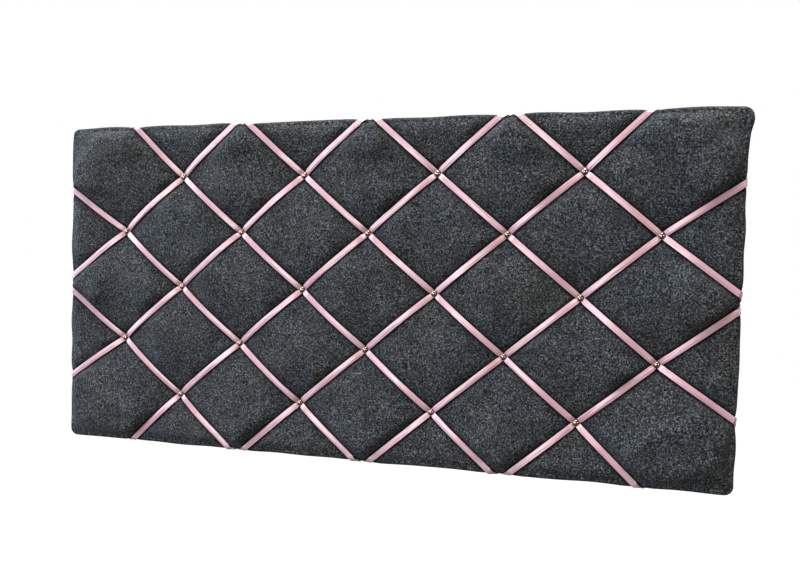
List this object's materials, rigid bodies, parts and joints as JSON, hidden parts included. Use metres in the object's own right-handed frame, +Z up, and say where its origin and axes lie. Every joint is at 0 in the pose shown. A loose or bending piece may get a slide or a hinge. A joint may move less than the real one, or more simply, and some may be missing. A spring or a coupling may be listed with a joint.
{
  "type": "french memo board",
  "caption": "Wide padded wall board in dark grey felt, tufted by brass tacks, with satin ribbons crossing in diamonds to tuck cards under and hinged rings behind to hang it by.",
  "frame": {"origin": "middle of the backing card's rear face, which turns to the wall", "axes": "+X to the right of someone facing the board, +Y out of its back towards the wall, +Z up"},
  "size_m": [0.7508, 0.0339, 0.3698],
  "materials": {
    "grey_felt": "matt, melange fibres",
    "wadding": "fluffy",
    "fibreboard": "raw",
    "pink_satin": "satin",
    "tack_brass": "polished",
    "backing_board": "matt",
    "zinc_steel": "zinc plated"
  },
  "bodies": {
    "board": {"fibreboard_panel": "fibreboard", "wadding_pad": "wadding", "felt_cover": "grey_felt", "backing_card": "backing_board", "ribbon_rising_1": "pink_satin", "ribbon_rising_2": "pink_satin", "ribbon_rising_3": "pink_satin", "ribbon_rising_4": "pink_satin", "ribbon_rising_5": "pink_satin", "ribbon_rising_6": "pink_satin", "ribbon_falling_1": "pink_satin", "ribbon_falling_2": "pink_satin", "ribbon_falling_3": "pink_satin", "ribbon_falling_4": "pink_satin", "ribbon_falling_5": "pink_satin", "ribbon_falling_6": "pink_satin", "tack_row1_col2": "tack_brass", "tack_row1_col4": "tack_brass", "tack_row1_col6": "tack_brass", "tack_row1_col8": "tack_brass", "tack_row2_col1": "tack_brass", "tack_row2_col3": "tack_brass", "tack_row2_col5": "tack_brass", "tack_row2_col7": "tack_brass", "tack_row2_col9": "tack_brass", "tack_row3_col2": "tack_brass", "tack_row3_col4": "tack_brass", "tack_row3_col6": "tack_brass", "tack_row3_col8": "tack_brass", "tack_row4_col1": "tack_brass", "tack_row4_col3": "tack_brass", "tack_row4_col5": "tack_brass", "tack_row4_col7": "tack_brass", "tack_row4_col9": "tack_brass", "tack_row5_col2": "tack_brass", "tack_row5_col4": "tack_brass", "tack_row5_col6": "tack_brass", "tack_row5_col8": "tack_brass", "hanger_strap_left": "zinc_steel", "hanger_screw_left": "zinc_steel", "hanger_strap_right": "zinc_steel", "hanger_screw_right": "zinc_steel"},
    "ring_left": {"hanger_ring_left": "zinc_steel"},
    "ring_right": {"hanger_ring_right": "zinc_steel"}
  },
  "joints": [
    {"name": "ring_left_swing", "type": "hinge", "parent": "board", "child": "ring_left", "pos_m": [-0.25, 0.00105, 0.164], "axis": [1, 0, 0], "range_deg": [0, 175]},
    {"name": "ring_right_swing", "type": "hinge", "parent": "board", "child": "ring_right", "pos_m": [0.25, 0.00105, 0.164], "axis": [1, 0, 0], "range_deg": [0, 175]}
  ]
}
